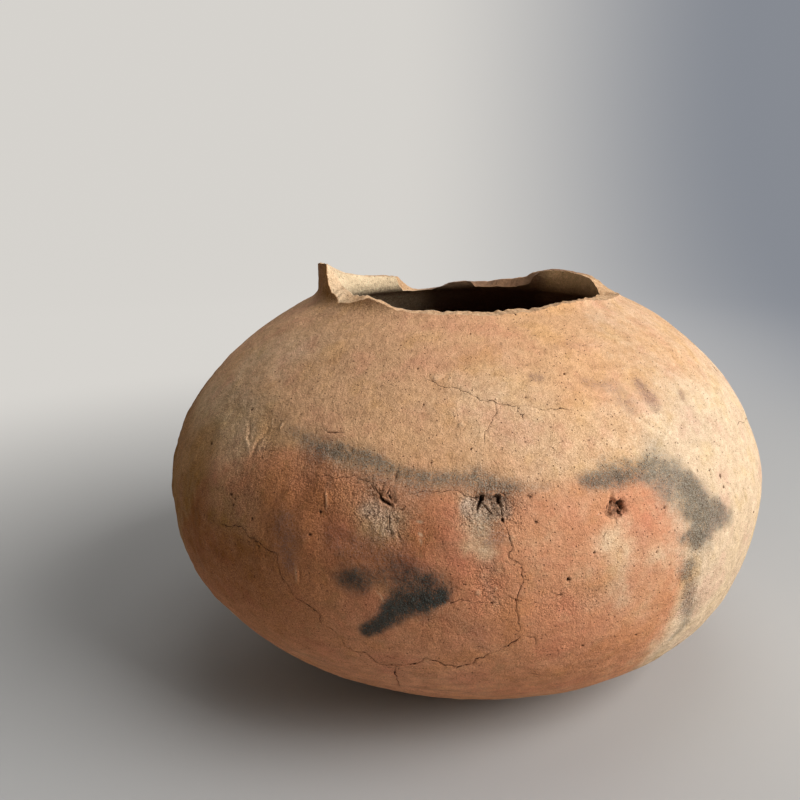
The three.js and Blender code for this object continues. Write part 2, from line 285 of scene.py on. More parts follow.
PALE_PLACES = [
    (0.35, [(365, 513, 3.2), (380, 519, 4.4), (392, 522, 3.4)]),
    (0.55, [(366, 528, 3), (380, 532, 3)]),
    (0.55, [(467, 500, 2.6), (472, 508, 3), (482, 516, 3.2), (494, 509, 2.6)]),
    (0.75, [(472, 526, 2.6), (476, 534, 3.2), (479, 543, 3.4), (485, 551, 2.4)]),
    (0.85, [(606, 537, 1.8), (608, 545, 1.9)]),
    (0.46, [(620, 525, 3.2), (619, 538, 4.2), (621, 552, 3.8), (623, 564, 2.4)]),
    (0.38, [(618, 574, 2.4), (617, 590, 2.8), (624, 600, 2.8)]),
    (0.6, [(654, 559, 2), (661, 554, 1.6)]),
    (0.6, [(205, 400, 8), (235, 420, 9), (230, 450, 7)]),
    (0.4, [(250, 360, 9), (290, 350, 9)]),
    (0.4, [(215, 500, 7), (240, 520, 6)]),
    (0.3, [(640, 545, 5), (668, 560, 4)]),
    (0.14, [(540, 540, 8), (575, 555, 8), (590, 580, 7)]),
    (0.2, [(625, 590, 8), (650, 580, 8), (640, 610, 7)]),
    (0.6, [(742, 530, 7), (730, 570, 8), (712, 604, 7)]),
    (0.42, [(500, 400, 12), (535, 425, 12), (560, 455, 12), (600, 440, 10)]),
]
STROKES = {
    "smoke": SMOKE, "bruise": BRUISES, "soot": SOOT, "brown_and_shade": BROWN_STAINS_AND_SHADE, "flush": FLUSHES,
    "grit": GRITTY_PLACES, "pale": PALE_PLACES,
}

# The reddened patch of the front, as pixels round its edge
RED_PATCH = [
    (252, 448), (300, 450), (345, 462), (415, 486), (480, 492), (540, 492), (583, 487), (640, 480),
    (672, 488), (688, 522), (686, 580), (668, 640), (615, 682), (500, 704), (380, 700), (285, 660),
    (205, 590), (180, 540), (200, 480),
]

# Marks of the side that the photograph doesn't show, by angle in degrees and height
HIDDEN_CRACKS = [(0.20, 18, 61, 74), (0.15, 96, 103, 148), (0.20, 150, 42, 196), (0.14, -28, 88, 12)]
HIDDEN_PITS = 46
HIDDEN_CLOUDS = [(35, 50, 30, 11), (78, 84, 24, 8), (128, 60, 34, 15), (162, 38, 18, 8)]


def ease(x, low, high):
    t = np.clip((x - low) / (high - low), 0, 1)
    return t * t * (3 - 2 * t)


# The wall


def body_arch(body, angle):
    """Radius and height of the body's outline: angle 0 is the belly, a quarter turn is the axis."""
    radius = BELLY_RADIUS * np.cos(angle) ** (2 / body["radius_power"])
    height = BELLY_HEIGHT + body["rise"] * np.sin(angle) ** (2 / body["height_power"])
    return radius, height


def body_angle(body, height):
    return math.asin(((height - BELLY_HEIGHT) / body["rise"]) ** (body["height_power"] / 2))


def make_outline():
    """Closely spaced points of the outside, from the middle of the base to the unbroken neck."""
    base = body_angle(LOWER_BODY, 0)
    root = body_angle(UPPER_BODY, NECK_ROOT_HEIGHT - NECK_FILLET / 2)
    lower = np.stack(body_arch(LOWER_BODY, np.linspace(base, 0, 900)), 1)
    upper = np.stack(body_arch(UPPER_BODY, np.linspace(0, root, 900)), 1)[1:]
    flat = np.linspace([0, 0], [lower[0, 0], 0], 200)[:-1]
    neck_radius = body_arch(UPPER_BODY, body_angle(UPPER_BODY, NECK_ROOT_HEIGHT))[0]
    corner = np.array([neck_radius, NECK_ROOT_HEIGHT])
    top = corner + [0, NECK_FILLET]
    t = np.linspace(0, 1, 40)[1:, None]
    fillet = (1 - t) ** 2 * upper[-1] + 2 * t * (1 - t) * corner + t ** 2 * top
    neck = np.linspace(top, corner + [0, NECK_FULL_RISE], 60)[1:]
    points = np.concatenate([flat, lower, upper, fillet, neck])
    steps = np.linalg.norm(np.diff(points, axis=0), axis=1)
    return np.concatenate([[0], np.cumsum(steps)]), points


OUTLINE_ARCS, OUTLINE = make_outline()
OUTLINE_SLOPE = np.gradient(OUTLINE, OUTLINE_ARCS, axis=0)
RISING = int(np.argmax(OUTLINE[:, 1] > 0)) - 1


def outline_at(arc):
    """Radius, height and unit direction of the outline at arcs."""
    lines = [OUTLINE[:, 0], OUTLINE[:, 1], OUTLINE_SLOPE[:, 0], OUTLINE_SLOPE[:, 1]]
    radius, height, dr, dz = (np.interp(arc, OUTLINE_ARCS, line) for line in lines)
    length = np.hypot(dr, dz)
    return radius, height, dr / length, dz / length


def radius_at(arc):
    return np.maximum(np.interp(arc, OUTLINE_ARCS, OUTLINE[:, 0]), 5)


def arc_at_height(height):
    return np.interp(height, OUTLINE[RISING:, 1], OUTLINE_ARCS[RISING:])


def uneven(radius, height, angle):
    """Moves points of the even jar to where they are on the uneven one."""
    off = ease(height, 0, 25)
    wobble = sum(reach * np.sin(waves * angle + turn) for waves, reach, turn in WOBBLE)
    r = radius + off * wobble * (radius / BELLY_RADIUS)
    x = r * np.cos(angle) - LEAN * np.exp(-(((height - LEAN_HEIGHT) / LEAN_REACH) ** 2))
    low = ease(height, 0, 18) * (1 - ease(height, 25, 52))
    return np.stack([x, r * np.sin(angle), height - LOPSIDED_DROP * x * low], -1)


NECK_ROOT_ARC = arc_at_height(NECK_ROOT_HEIGHT + NECK_FILLET / 5)


def wall_thickness(arc, height):
    thin = ease(height, 0, THIN_FROM_HEIGHT)
    extra = NECK_ROOT_EXTRA * np.exp(-(((arc - NECK_ROOT_ARC) / NECK_ROOT_REACH) ** 2))
    return BASE_THICKNESS + (WALL_THICKNESS - BASE_THICKNESS) * thin + extra


def wall_point(arc, angle, depth=0.0, relief=0.0):
    """Points of the wall, raised along its outward side by relief millimetres."""
    radius, height, dr, dz = outline_at(arc)
    inward = depth * wall_thickness(arc, height) - relief
    return uneven(np.maximum(radius - dz * inward, 0), height + dr * inward, angle)


# The photograph's view of the wall


def pixel_of(points):
    """The pixels at which the photograph's camera sees points of the jar."""
    x, y, z = points[..., 0], points[..., 1] + CAMERA_DISTANCE, points[..., 2] - CAMERA_HEIGHT
    away = y * math.cos(CAMERA_PITCH) - z * math.sin(CAMERA_PITCH)
    up = y * math.sin(CAMERA_PITCH) + z * math.cos(CAMERA_PITCH)
    across = AXIS_PIXEL + FOCAL_PIXELS * x / away
    return np.stack([across, FRAME_PIXELS / 2 - FOCAL_PIXELS * up / away], -1)


def make_front_grid():
    """Places spread over the side that the camera sees, and their pixels."""
    arcs, angles = np.meshgrid(
        np.linspace(JOINT_LAP, arc_at_height(NECK_ROOT_HEIGHT), 160),
        np.linspace(math.pi * 1.03, math.pi * 1.97, 220),
    )
    points = wall_point(arcs, angles)
    outward = np.cross(np.gradient(points, axis=0), np.gradient(points, axis=1))
    to_camera = np.array([0, -CAMERA_DISTANCE, CAMERA_HEIGHT]) - points
    seen = np.sum(outward * to_camera, -1) > 0
    return np.stack([arcs[seen], angles[seen]], 1), pixel_of(points[seen])


FRONT_PLACES, FRONT_PIXELS = make_front_grid()


def on_wall(pixel):
    """The arc and angle of the wall at a pixel: the nearest of a grid, then four Newton steps."""
    pixel = np.array(pixel, float)
    place = FRONT_PLACES[np.argmin(np.linalg.norm(FRONT_PIXELS - pixel, axis=1))]
    step = np.array([0.1, 0.001])
    for _ in range(4):
        here = pixel_of(wall_point(*place))
        along_arc = (pixel_of(wall_point(place[0] + step[0], place[1])) - here) / step[0]
        along_turn = (pixel_of(wall_point(place[0], place[1] + step[1])) - here) / step[1]
        change = np.linalg.lstsq(np.stack([along_arc, along_turn], 1), pixel - here, rcond=None)[0]
        place = place + np.clip(change, [-1.5, -0.02], [1.5, 0.02])
    return place


def at_height(degrees, height):
    return np.array([arc_at_height(height), math.radians(degrees)])


# Noise and distances


# Large numbers that scatter the cells of the noise
SCATTER = np.array([374761393, 668265263, 974634777])
MIX = 1274126177
LOW_BITS = 0xFFFFFFFF


def noise(points, size, seed):
    """Smooth noise from 0 to 1 at points, with blobs of about size millimetres."""
    p = points / size + 19.7 * seed
    cell = np.floor(p).astype(np.int64)
    t = p - cell
    t = t * t * (3 - 2 * t)
    total = 0
    for corner in itertools.product((0, 1), repeat=3):
        h = ((cell + corner) @ SCATTER + seed * MIX) & LOW_BITS
        h = (h ^ (h >> 13)) * MIX & LOW_BITS
        value = ((h ^ (h >> 16)) & 0xFFFF) / 65535
        total = total + value * np.prod(np.where(np.array(corner) == 1, t, 1 - t), axis=-1)
    return total


def clouds(points, size, seed, layers=3):
    """Noise with finer noise added, from about 0 to 1."""
    total = sum(noise(points, size / 2 ** i, seed + i) / 2 ** i for i in range(layers))
    return total / sum(1 / 2 ** i for i in range(layers))


class Chart:
    """The wall round a place, laid flat: x across and y up the wall, in millimetres."""

    def __init__(self, places):
        self.arc, self.angle = np.array(places).mean(0)

    def flat(self, arc, angle):
        turn = (angle - self.angle + math.pi) % (2 * math.pi) - math.pi
        return np.stack([turn * radius_at(arc), arc - self.arc], -1)

    def wall(self, flat):
        arc = flat[..., 1] + self.arc
        return arc, self.angle + flat[..., 0] / radius_at(arc)


def nearest_on_line(points, line):
    """For each point the nearest point of a line, its distance, share of the way and side."""
    best = np.full(len(points), np.inf)
    near = np.zeros_like(points)
    share = np.zeros(len(points))
    side = np.ones(len(points))
    for i in range(len(line) - 1):
        a, along = line[i], line[i + 1] - line[i]
        t = np.clip(((points - a) @ along) / (along @ along), 0, 1)
        q = a + t[:, None] * along
        d = np.linalg.norm(points - q, axis=1)
        closer = d < best
        best = np.where(closer, d, best)
        near[closer] = q[closer]
        share = np.where(closer, (i + t) / (len(line) - 1), share)
        cross = along[0] * (points[:, 1] - a[1]) - along[1] * (points[:, 0] - a[0])
        side = np.where(closer, np.where(cross < 0, -1, 1), side)
    return best, near, share, side


def jagged(line, seed, reach=0.20, step=0.9):
    """A line with more corners, each thrown a little to one side."""
    random = np.random.default_rng(seed)
    points = [line[0]]
    for a, b in zip(line[:-1], line[1:]):
        length = np.linalg.norm(b - a)
        count = max(1, int(length / step))
        across = np.array([a[1] - b[1], b[0] - a[0]]) / length
        for k in range(1, count + 1):
            points.append(a + (b - a) * k / count + across * random.normal(0, reach))
    return np.array(points)


class Mark:
    """A line or spot on the wall, laid flat. The mesh can be drawn in near it, to show it finely."""

    def __init__(self, places, reach, pull=1.0, core=0.0, seed=None):
        self.core = core
        self.chart = Chart(places)
        self.plain = self.chart.flat(*np.array(places).T)
        self.line = self.plain if seed is None else jagged(self.plain, seed)
        self.length = np.linalg.norm(np.diff(self.plain, axis=0), axis=1).sum()
        self.reach = reach
        self.pull = pull
        self.low, self.high = self.plain.min(0) - reach, self.plain.max(0) + reach

    def near(self, arc, angle):
        """Which of the places the mark can reach, and where they lie on its chart."""
        rise = arc - self.chart.arc
        level = np.flatnonzero((rise > self.low[1]) & (rise < self.high[1]))
        flat = self.chart.flat(arc[level], angle[level])
        beside = (flat[:, 0] > self.low[0]) & (flat[:, 0] < self.high[0])
        return level[beside], flat[beside]

    def measure(self, flat, line=None):
        line = self.line if line is None else line
        if len(line) > 1:
            return nearest_on_line(flat, line)
        same = np.ones(len(flat))
        return np.linalg.norm(flat - line[0], axis=1), np.repeat(line, len(flat), 0), 0 * same, same

    def ends(self, share, fade):
        """1 along the mark, falling to 0 over its last millimetres at both ends."""
        return ease(np.minimum(share, 1 - share) * self.length, 0, fade)

    def draw_in(self, arc, angle):
        inside, flat = self.near(arc, angle)
        d, near, _, _ = self.measure(flat, self.plain)
        rest = ease(d, self.core / self.pull, self.reach)
        share = self.pull + (1 - self.pull) * rest
        arc[inside], angle[inside] = self.chart.wall(near + (flat - near) * share[:, None])


CRACK_PULL = 0.16
CRACK_DRAW = 3.2
GOUGE_PULL = 0.45
PIT_PULL = 0.5
CRUMBLED_PULL = 0.42
BROAD_PIT = 2.0
BROAD_GROUND = 4.0
BROAD_HOLLOW_AND_SHADE = 0.4


def crumbled(place):
    """True in a crumbled place, whose marks don't draw the mesh in one by one."""
    return any(
        np.linalg.norm(Chart([on_wall(pixel)]).flat(*place)) < 0.7 * reach for pixel, reach in CRUMBLED
    )


def make_cracks():
    """Cracks as (width, mark), the photographed ones and then a wandering one for each hidden one."""
    cracks = [(width, [on_wall(p) for p in line]) for width, line in CRACKS]
    random = np.random.default_rng(5)
    for width, start, height, end in HIDDEN_CRACKS:
        turns = np.arange(start, end, 2.0)
        heights = height + np.cumsum(random.normal(0, 0.9, len(turns)))
        cracks.append((width, [at_height(*place) for place in zip(turns, heights)]))
    return [
        (width, Mark(line, CRACK_DRAW, CRACK_PULL, seed=31 + i)) for i, (width, line) in enumerate(cracks)
    ]


def make_gouges():
    gouges = []
    for width, depth, dark, line in GOUGES:
        places = [on_wall(p) for p in line]
        pull = 1.0 if crumbled(places[0]) else GOUGE_PULL
        gouges.append((width, depth, dark, Mark(places, 2.5 + width, pull)))
    return gouges


def make_pits():
    """Pits as (width, height, depth, mark), with some scattered over the hidden side."""
    pits = [(w, h, depth, on_wall((x, y))) for x, y, w, h, depth in PITS]
    random = np.random.default_rng(9)
    for _ in range(HIDDEN_PITS):
        size = random.uniform(0.5, 1.2) * (2.4 if random.random() < 0.08 else 1)
        place = at_height(random.uniform(-15, 195), random.uniform(22, 116))
        pits.append((size, size * random.uniform(0.7, 1.2), 0.6 * size, place))
    marks = []
    for w, h, depth, place in pits:
        size = max(w, h)
        pull = 1.0 if size > BROAD_PIT or crumbled(place) else PIT_PULL
        marks.append((w, h, depth, Mark([place], 1.5 + 2 * size, pull, core=0.5 * size)))
    return marks


CRACK_MARKS = make_cracks()
GOUGE_MARKS = make_gouges()
PIT_MARKS = make_pits()
FOCUS_MARKS = [Mark([on_wall(pixel)], reach, CRUMBLED_PULL, core=0.3 * reach) for pixel, reach in CRUMBLED]
DRAWING_MARKS = FOCUS_MARKS + [m[-1] for m in CRACK_MARKS + GOUGE_MARKS + PIT_MARKS if m[-1].pull < 1]

# A crack is drawn by the material, from the distance to its line and its half width. Cracks are
# dealt out over some layers, so that those that meet don't share one.
CRACK_LAYERS = 3
CRACK_FAR = 3.0
CRACK_FADE = 3.0
CRACK_STEP = 0.045

# Lumps of the fired surface: reach and size in millimetres, squeeze upward, seed, layers. The first
# are everywhere, and the others grow where the surface is rough.
EVEN_LUMPS = [(0.40, 34, 1.6, 3, 3), (0.38, 12, 1.8, 11, 1)]
ROUGH_LUMPS = [(0.24, 5.5, 1, 15, 1), (0.20, 2.6, 1, 21, 2)]
ROUGHER = {"grit": 2.2, "brown_and_shade": 2.1, "red": -0.3}


def lumps(points, table):
    return sum(
        reach * clouds(points * [1, 1, squeeze], size, seed, layers)
        for reach, size, squeeze, seed, layers in table
    )


def raise_to(layer, inside, values):
    layer[inside] = np.maximum(layer[inside], values)


def cut_cracks(arc, angle, points, relief, layers):
    """Grooves whose two sides stand at slightly different heights."""
    for i, (width, mark) in enumerate(CRACK_MARKS):
        inside, flat = mark.near(arc, angle)
        d, _, share, side = mark.measure(flat)
        ends = mark.ends(share, CRACK_FADE)
        half = 0.5 * width * (0.4 + 1.2 * noise(points[inside], 2.5, 5)) * (0.3 + 0.7 * ends)
        groove = 1 - ease(d, half, half + 0.15)
        relief[inside] += -(0.1 + 0.6 * width) * groove * ends + CRACK_STEP * side * np.exp(-d / 1.6) * ends
        crack, gape = layers[f"crack_{i % CRACK_LAYERS}"], layers[f"open_{i % CRACK_LAYERS}"]
        closer = d < np.abs(crack[inside])
        crack[inside] = np.where(closer, d * side, crack[inside])
        gape[inside] = np.where(closer, half * (ends > 0.02) * (1 - ease(d, 1, 2)), gape[inside])


def cut_gouges(arc, angle, points, relief, layers):
    """Slots with a raised lip, darkened inside with painted shade, or scraped pale."""
    for width, depth, dark, mark in GOUGE_MARKS:
        inside, flat = mark.near(arc, angle)
        d, _, share, _ = mark.measure(flat)
        d = d * (0.7 + 0.6 * clouds(points[inside], 1.2, 45, 2))
        groove = (1 - ease(d, 0.15 * width, 0.6 * width)) * (0.4 + 0.6 * mark.ends(share, 1.5))
        lip = np.exp(-(((d - 0.85 * width) / (0.35 * width)) ** 2))
        relief[inside] += -depth * groove + 0.15 * np.maximum(depth, 0) * lip
        if dark < 0:
            raise_to(layers["scraped"], inside, -dark * groove)
        elif dark > 0.45:
            deep = np.clip(1.2 - 0.7 * d / (0.42 * width), 0, 1) * ease(mark.ends(share, 1.0), 0, 1)
            raise_to(layers["hollow_and_shade"], inside, dark * deep)


def cut_pits(arc, angle, points, relief, layers):
    """Ragged bowls, darkened inside with painted shade that grows with depth, and nodules with a scraped
    top.
    """
    for w, h, depth, mark in PIT_MARKS:
        inside, flat = mark.near(arc, angle)
        off = flat - mark.line[0]
        rough = clouds(points[inside], max(0.7, 0.34 * w), 41, 3)
        spread = np.hypot(off[:, 0] / (w / 2), off[:, 1] / (h / 2)) * (0.4 + 1.2 * rough)
        bowl = 1 - ease(spread, 0.5, 1.15)
        floor = 1 if depth < 0 else 0.6 + 0.8 * clouds(points[inside], 1.1, 51, 2)
        relief[inside] += -depth * bowl * floor + 0.1 * max(depth, 0) * np.exp(-((spread - 1.35) / 0.3) ** 2)
        if depth < 0:
            raise_to(layers["scraped"], inside, 0.3 * bowl)
        else:
            dark = BROAD_HOLLOW_AND_SHADE * depth if w > BROAD_GROUND else min(1, 0.4 + depth)
            raise_to(layers["hollow_and_shade"], inside, dark * np.clip(1.2 - 0.7 * spread, 0, 1))


def carve(arc, angle, points, rough):
    """How far the fired surface stands out at places of the wall, and the layers its marks leave."""
    relief = -lumps(points, EVEN_LUMPS) - rough * lumps(points, ROUGH_LUMPS)
    layers = {name: np.zeros(len(arc)) for name in ("hollow_and_shade", "scraped")}
    for k in range(CRACK_LAYERS):
        layers |= {f"crack_{k}": np.full(len(arc), CRACK_FAR), f"open_{k}": np.zeros(len(arc))}
    for cut in (cut_cracks, cut_gouges, cut_pits):
        cut(arc, angle, points, relief, layers)
    return relief, layers


# Colour masks

STROKE_MARKS = [
    (name, strength, np.array([p[2] for p in stroke], float),
     Mark([on_wall(p[:2]) for p in stroke], 2.4 * max(p[2] for p in stroke)))
    for name, strokes in STROKES.items() for strength, stroke in strokes
]
RED_EDGE = [on_wall(p) for p in RED_PATCH]
RED_FADE = 6.0

# The pale flank on the right: angle and half width in degrees,
# heights, and how ragged its edge is on the front and at the back
PALE_FLANK = {"angle": -12, "reach": 47, "fade": 11, "low": 18, "high": 112, "ragged": (26, 56)}

# The brown side, partly brown clay and partly painted shade on the left, away from the window lamp,
# and on the stub above the neck: strength, the way to the left over which it comes, the heights over
# which it goes. The first zone is the broad one, and is weaker low down.
BROWN_AND_SHADE_ZONES = [
    (0.86, (-25, 75), (66, 100)), (1.0, (70, 98), (84, 110)), (0.20, (-50, 20), (12, 46)),
    (0.8, (20, 45), (125, 121)),
]
BROWN_AND_SHADE_LOW_SHARE = 0.30
BROWN_AND_SHADE_FULL_FROM = (28, 66)


def red_patch(arc, angle, points):
    """1 inside the reddened patch of the front, falling to 0 across a soft edge."""
    mark = Mark(RED_EDGE + RED_EDGE[:1], 3 * RED_FADE)
    inside, p = mark.near(arc, angle)
    d = mark.measure(p)[0]
    odd = np.zeros(len(p), bool)
    for a, b in zip(mark.line[:-1], mark.line[1:]):
        spans = (a[1] > p[:, 1]) != (b[1] > p[:, 1])
        rise = np.where(b[1] == a[1], 1e-9, b[1] - a[1])
        odd ^= spans & (p[:, 0] < a[0] + (p[:, 1] - a[1]) / rise * (b[0] - a[0]))
    signed = np.where(odd, d, -d) + 2 * RED_FADE * (clouds(points[inside], 22.0, 67, 4) - 0.5)
    mask = np.zeros(len(arc))
    mask[inside] = ease(signed, -RED_FADE, RED_FADE)
    return mask


def red_behind(angle, points):
    low = ease(np.sin(angle), -0.1, 0.3) * (1 - ease(points[:, 2], 55, 85))
    return low * ease(clouds(points, 60.0, 79, 3), 0.4, 0.6)


def flank_mask(angle, points):
    middle, reach, fade, low, high, ragged = PALE_FLANK.values()
    spread = ragged[0] + (ragged[1] - ragged[0]) * ease(np.sin(angle), 0, 0.4)
    turn = np.abs((np.degrees(angle) - middle + 180) % 360 - 180)
    turn += spread * (clouds(points, 30.0, 63, 4) - 0.5)
    flank = 1 - ease(turn, reach - fade, reach + fade)
    height = points[:, 2]
    return flank * ease(height, low - 14, low + 14) * (1 - 0.55 * ease(height, high - 25, high))


# The brown side as a mask, partly painted shade on the side away from the window lamp
def brown_and_shade_mask(points):
    left = 24 * (clouds(points, 26.0, 69, 4) - 0.5) - points[:, 0]
    height = points[:, 2]
    zones = [
        strength * ease(left, *comes) * (1 - ease(height, *goes))
        for strength, comes, goes in BROWN_AND_SHADE_ZONES
    ]
    zones[0] *= BROWN_AND_SHADE_LOW_SHARE + (1 - BROWN_AND_SHADE_LOW_SHARE) * ease(height, *BROWN_AND_SHADE_FULL_FROM)
    return np.max(zones, axis=0)


def colour_masks(arc, angle, points):
    """How strongly each kind of colour lies at places of the wall, from 0 to 1."""
    masks = {name: np.zeros(len(arc)) for name in STROKES}
    ragged = 0.3 + 1.4 * clouds(points, 6.0, 61, 4)
    for name, strength, widths, mark in STROKE_MARKS:
        inside, flat = mark.near(arc, angle)
        d, _, share, _ = mark.measure(flat)
        half = np.interp(share, np.linspace(0, 1, len(widths)), widths)
        cover = strength * np.exp(-0.8 * (d / half * ragged[inside]) ** 2.4)
        masks[name][inside] = 1 - (1 - masks[name][inside]) * (1 - cover)
    for degrees, height, width, rise in HIDDEN_CLOUDS:
        flat = Chart([at_height(degrees, height)]).flat(arc, angle) / [width, rise]
        d = np.linalg.norm(flat, axis=1) * (0.4 + 1.2 * clouds(points, 18.0, 73, 4))
        masks["smoke"] = np.maximum(masks["smoke"], 0.6 * (1 - ease(d, 0.2, 1.0)))
    masks["brown_and_shade"] = 1 - (1 - brown_and_shade_mask(points)) * (1 - masks["brown_and_shade"])
    masks["red"] = np.maximum(red_patch(arc, angle, points), red_behind(angle, points))
    masks["flank"] = flank_mask(angle, points)
    return masks


# The pieces


def joint_arc(i, angle):
    arc = arc_at_height(JOINT_HEIGHTS[i])
    wander = np.sin(2 * angle + 1.7 * i) + 0.6 * np.sin(3 * angle - 2.3 * i)
    return arc + JOINT_WANDER / 1.6 * wander


def ring_noise(angle, size, seed):
    """Noise along the rim, from -0.5 to 0.5."""
    ring = np.stack([40 * np.cos(angle), 40 * np.sin(angle), 0 * angle], -1)
    return noise(ring, size, seed) - 0.5


def break_arc(table, chips, angle):
    """A broken edge round the neck, with chips out of it."""
    above_root = np.interp(np.degrees(angle) % 360, *zip(*table))
    jag = sum(reach * ring_noise(angle, size, seed) for reach, size, seed in chips)
    return arc_at_height(NECK_ROOT_HEIGHT + above_root) + jag


# Chips of the broken edge and of its inner edge: reach and size in millimetres, seed
CHIPS = [(0.4, 5.2, 81), (0.4, 1.1, 83)]
INNER_CHIPS = [(0.5, 6.3, 85), (0.35, 1.3, 87)]
COLUMNS = 900
FRONT = math.radians(-90)
FRONT_CROWDING = 0.4
OUTER_STEP = 0.6
COARSE_STEP = 3.0
BREAK_ROWS = 9
BREAK_GRIT = 0.7
HIGHEST = 1000 * cad_box[1][2] - 0.02
COARSE_BELOW = 50.0
BASE_ARC = 0.02
CALM_FOOT = (30, 60)


def steps_between(low, high, step):
    """Shares from 0 to 1, in steps of about a length between two edges."""
    return np.linspace(0, 1, max(2, int(math.ceil(np.mean(high - low) / step))) + 1)[:, None]


def outer_side(low, high, angle, step):
    """Points of the outside between two edges, and the layers of its colours and marks."""
    arc = low + (high - low) * steps_between(low, high, step)
    shape = arc.shape
    arc, turn = arc.ravel(), np.repeat(angle[None], shape[0], 0).ravel()
    for mark in DRAWING_MARKS:
        mark.draw_in(arc, turn)
    smooth = wall_point(arc, turn)
    layers = colour_masks(arc, turn, smooth)
    rough = 1 + sum(share * layers[name] for name, share in ROUGHER.items())
    relief, marks = carve(arc, turn, smooth, rough)
    points = wall_point(arc, turn, 0, relief * ease(arc, *CALM_FOOT))
    layers = {name: layer.reshape(shape) for name, layer in (layers | marks).items()}
    return points.reshape(*shape, 3), layers


def inner_side(low, high, angle, step):
    """The same for the inside, from its high edge down."""
    arc = high + (low - high) * steps_between(low, high, step)
    turn = np.repeat(angle[None], len(arc), 0)
    dents = 0.6 * clouds(wall_point(arc, turn, 1.0), 22, 91)
    return wall_point(arc, turn, 1.0, -dents), {"inner": np.ones(arc.shape)}


def broken_face(start, end):
    """The same for the crumbly break, between the outside's last row and the inside's first."""
    across = np.linspace(0, 1, BREAK_ROWS + 2)[1:-1, None]
    points = start + (end - start) * across[..., None]
    grit = clouds(points, 2.2, 95, 3) - 0.5 + 0.6 * (noise(points, 0.7, 97) - 0.5)
    points[..., 2] += BREAK_GRIT * grit * np.sin(math.pi * across) ** 0.5
    return points, {"broken": np.ones(points.shape[:2])}


def make_band(name, low, high, broken):
    """One closed band: up the outside, over the top edge, and down the inside."""
    turn = np.linspace(0, 2 * math.pi, COLUMNS, endpoint=False)
    angle = turn - FRONT_CROWDING * np.sin(turn - FRONT)
    a, b = low(angle), high(angle)
    inner_a = a + JOINT_LAP if a[0] > 1 else a
    inner_b = break_arc(BROKEN_INNER_EDGE, INNER_CHIPS, angle) if broken else b + JOINT_LAP
    parts = [
        outer_side(a, b, angle, COARSE_STEP if b.mean() < COARSE_BELOW else OUTER_STEP),
        inner_side(inner_a, inner_b, angle, OUTER_STEP if broken else COARSE_STEP),
    ]
    if broken:
        parts.insert(1, broken_face(parts[0][0][-1], parts[1][0][0]))
    values = {}
    for layer in (*parts[0][1], "broken", "inner"):
        rest = CRACK_FAR if layer.startswith("crack") else 0.0
        values[layer] = np.concatenate([
            layers.get(layer, np.full(rows.shape[:2], rest)) for rows, layers in parts
        ])
    points = np.concatenate([rows for rows, _ in parts])
    points[..., 2] = np.minimum(points[..., 2], HIGHEST)
    sharp_rows = [0, len(parts[0][0]) - 1, len(points) - len(parts[-1][0]), len(points) - 1]
    return build_mesh(name, points / 1000, values, sharp_rows)


def ring_faces(rows, columns):
    """Faces of rings of points, each joined to the next, and the last to the first."""
    index = np.arange(rows * columns).reshape(rows, columns)
    right = np.roll(index, -1, 1)
    return np.stack([index, right, np.roll(right, -1, 0), np.roll(index, -1, 0)], -1).reshape(-1, 4)


def build_mesh(name, points, layers, sharp_rows):
    count, columns = points.shape[:2]
    faces = ring_faces(count, columns)
    mesh = bpy.data.meshes.new(name)
    mesh.vertices.add(count * columns)
    mesh.vertices.foreach_set("co", points.astype(np.float32).ravel())
    mesh.loops.add(faces.size)
    mesh.loops.foreach_set("vertex_index", faces.ravel().astype(np.int32))
    mesh.polygons.add(len(faces))
    mesh.polygons.foreach_set("loop_start", np.arange(0, faces.size, 4, dtype=np.int32))
    mesh.update(calc_edges=True)
    edges = np.zeros(len(mesh.edges) * 2, np.int32)
    mesh.edges.foreach_get("vertices", edges)
    edge_rows = edges.reshape(-1, 2) // columns
    along = edge_rows[:, 0] == edge_rows[:, 1]
    sharp = along & np.isin(edge_rows[:, 0], sharp_rows)
    mesh.attributes.new("sharp_edge", "BOOLEAN", "EDGE").data.foreach_set("value", sharp)
    for layer, values in layers.items():
        attribute = mesh.attributes.new(layer, "FLOAT", "POINT")
        attribute.data.foreach_set("value", values.astype(np.float32).ravel())
    mesh.validate()
    return mesh


# Materials

# Tints that multiply what they cover, in linear numbers
BROWN_AND_SHADE_TINT = (0.43, 0.335, 0.142, 1)
YELLOW_TINT = (0.98, 0.96, 0.86, 1)
PINK_TINT = (0.98, 0.90, 0.93, 1)
CRAZING_BEND = 0.0022


